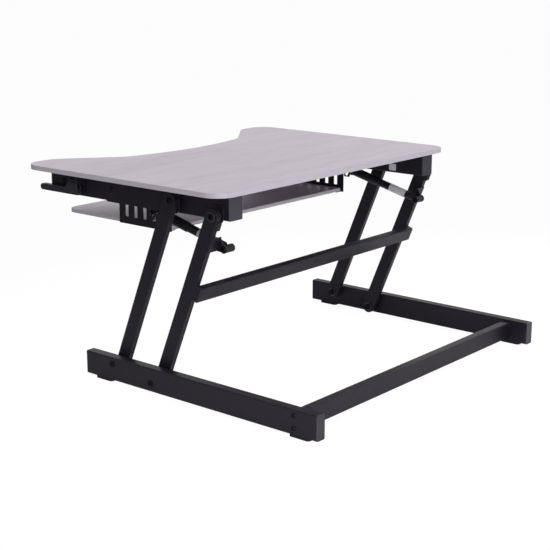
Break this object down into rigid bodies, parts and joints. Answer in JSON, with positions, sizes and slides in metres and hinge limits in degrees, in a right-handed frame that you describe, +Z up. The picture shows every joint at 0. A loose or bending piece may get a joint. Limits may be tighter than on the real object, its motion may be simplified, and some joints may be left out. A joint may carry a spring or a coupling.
{
  "type": "standing desk converter",
  "caption": "Desktop sit-stand riser: cut-out top on parallel lift arms with gas springs, side squeeze levers and a sliding keyboard tray.",
  "frame": {"origin": "centre of the footprint, on the surface that the rubber feet stand on", "axes": "+Z up, -Y towards the user, +X to the user's right"},
  "size_m": [0.959, 0.965, 0.5194],
  "materials": {
    "laminate": "matt laminate on fibreboard with a pale grey straight grain",
    "black_steel": "fine-texture black powder coat",
    "black_plastic": "matt moulded",
    "rubber": "matt",
    "zinc": "zinc plated",
    "chrome_rod": "ground and plated",
    "bush_plastic": "dark moulded acetal",
    "pale_label": "plain printed film, blank"
  },
  "bodies": {
    "base": {"base_rail_right": "black_steel", "base_rail_left": "black_steel", "base_end_caps": "black_plastic", "rubber_feet": "rubber", "base_cross_rail": "black_steel", "cross_rail_screws": "zinc", "base_pivot_bolts": "zinc", "base_pivot_nuts": "zinc"},
    "rear_arms": {"rear_arm_right": "black_steel", "rear_arm_left": "black_steel", "rear_arm_bushes": "bush_plastic", "mid_cross_rail": "black_steel", "spring_bracket_right": "black_steel", "spring_bracket_left": "black_steel", "spring_lower_pins": "zinc", "lowering_bumpers": "rubber"},
    "front_arm_right": {"front_arm_right": "black_steel", "front_arm_bushes_right": "bush_plastic", "lock_sector_right": "zinc"},
    "front_arm_left": {"front_arm_left": "black_steel", "front_arm_bushes_left": "bush_plastic", "lock_sector_left": "zinc"},
    "top_frame": {"desktop": "laminate", "desktop_tabs": "black_steel", "desktop_screws": "zinc", "top_rail_right": "black_steel", "top_rail_left": "black_steel", "top_rail_end_caps": "black_plastic", "side_plate_right": "black_steel", "side_plate_left": "black_steel", "side_plate_screws": "zinc", "rear_pivot_plates": "black_steel", "rear_pivot_bolts": "zinc", "spring_upper_brackets": "black_steel", "slide_channels": "zinc", "lever_bracket_right": "black_steel", "lever_bracket_left": "black_steel", "lever_bracket_screws": "zinc", "lever_pins": "zinc", "lock_guides": "black_plastic", "lock_springs": "zinc"},
    "lever_right": {"squeeze_lever_right": "black_plastic"},
    "lever_left": {"squeeze_lever_left": "black_plastic"},
    "lock_right": {"lock_rod_right": "zinc"},
    "lock_left": {"lock_rod_left": "zinc"},
    "tray": {"keyboard_tray": "laminate", "tray_hanger_right": "black_steel", "tray_hanger_left": "black_steel", "slide_runners": "zinc", "tray_screws": "zinc"},
    "gas_tube_right": {"gas_tube_right": "black_steel", "gas_label_right": "pale_label"},
    "gas_tube_left": {"gas_tube_left": "black_steel", "gas_label_left": "pale_label"},
    "gas_rod_right": {"gas_rod_right": "chrome_rod", "gas_sleeve_right": "black_steel", "gas_upper_pin_right": "zinc"},
    "gas_rod_left": {"gas_rod_left": "chrome_rod", "gas_sleeve_left": "black_steel", "gas_upper_pin_left": "zinc"}
  },
  "joints": [
    {"name": "lift", "type": "hinge", "parent": "base", "child": "rear_arms", "pos_m": [0, -0.033, 0.027], "axis": [1, 0, 0], "range_deg": [-59.3, 0]},
    {"name": "front_arm_right_turn", "type": "hinge", "parent": "base", "child": "front_arm_right", "pos_m": [0.4345, -0.167, 0.048], "axis": [1, 0, 0], "range_deg": [-59.3, 0]},
    {"name": "front_arm_left_turn", "type": "hinge", "parent": "base", "child": "front_arm_left", "pos_m": [-0.4345, -0.167, 0.048], "axis": [1, 0, 0], "range_deg": [-59.3, 0]},
    {"name": "top_level", "type": "hinge", "parent": "rear_arms", "child": "top_frame", "pos_m": [0, 0.14307, 0.45738], "axis": [1, 0, 0], "range_deg": [0, 59.3]},
    {"name": "gas_tube_right_turn", "type": "hinge", "parent": "rear_arms", "child": "gas_tube_right", "pos_m": [0.394, 0.15296, 0.37748], "axis": [1, 0, 0], "range_deg": [0, 63.47]},
    {"name": "gas_tube_left_turn", "type": "hinge", "parent": "rear_arms", "child": "gas_tube_left", "pos_m": [-0.394, 0.15296, 0.37748], "axis": [1, 0, 0], "range_deg": [0, 63.47]},
    {"name": "gas_rod_right_slide", "type": "slide", "parent": "gas_tube_right", "child": "gas_rod_right", "axis": [0, -0.9694, 0.2456], "range_m": [-0.07838, 0]},
    {"name": "gas_rod_left_slide", "type": "slide", "parent": "gas_tube_left", "child": "gas_rod_left", "axis": [0, -0.9694, 0.2456], "range_m": [-0.07838, 0]},
    {"name": "tray_slide", "type": "slide", "parent": "top_frame", "child": "tray", "axis": [0, -1, 0], "range_m": [0, 0.17]},
    {"name": "squeeze_right", "type": "hinge", "parent": "top_frame", "child": "lever_right", "pos_m": [0.4315, -0.32993, 0.49438], "axis": [-1, 0, 0], "range_deg": [0, 12], "stiffness_Nm_per_rad": 2, "springref_deg": -8.59},
    {"name": "squeeze_left", "type": "hinge", "parent": "top_frame", "child": "lever_left", "pos_m": [-0.4315, -0.32993, 0.49438], "axis": [-1, 0, 0], "range_deg": [0, 12], "stiffness_Nm_per_rad": 2, "springref_deg": -8.59},
    {"name": "lock_right_slide", "type": "slide", "parent": "top_frame", "child": "lock_right", "axis": [0, -1, 0], "range_m": [0, 0.0042], "deforming": ["lock_springs"]},
    {"name": "lock_left_slide", "type": "slide", "parent": "top_frame", "child": "lock_left", "axis": [0, -1, 0], "range_m": [0, 0.0042], "deforming": ["lock_springs"]}
  ],
  "couplings": [
    {"joint": "front_arm_right_turn", "follows": "lift", "ratio": 1},
    {"joint": "front_arm_left_turn", "follows": "lift", "ratio": 1},
    {"joint": "top_level", "follows": "lift", "ratio": -1},
    {"joint": "gas_tube_right_turn", "follows": "lift", "ratio": -1.0702},
    {"joint": "gas_tube_left_turn", "follows": "lift", "ratio": -1.0702},
    {"joint": "gas_rod_right_slide", "follows": "lift", "m_per_rad": 0.075726},
    {"joint": "gas_rod_left_slide", "follows": "lift", "m_per_rad": 0.075726},
    {"joint": "lock_right_slide", "follows": "squeeze_right", "m_per_rad": 0.02},
    {"joint": "lock_left_slide", "follows": "squeeze_left", "m_per_rad": 0.02}
  ]
}
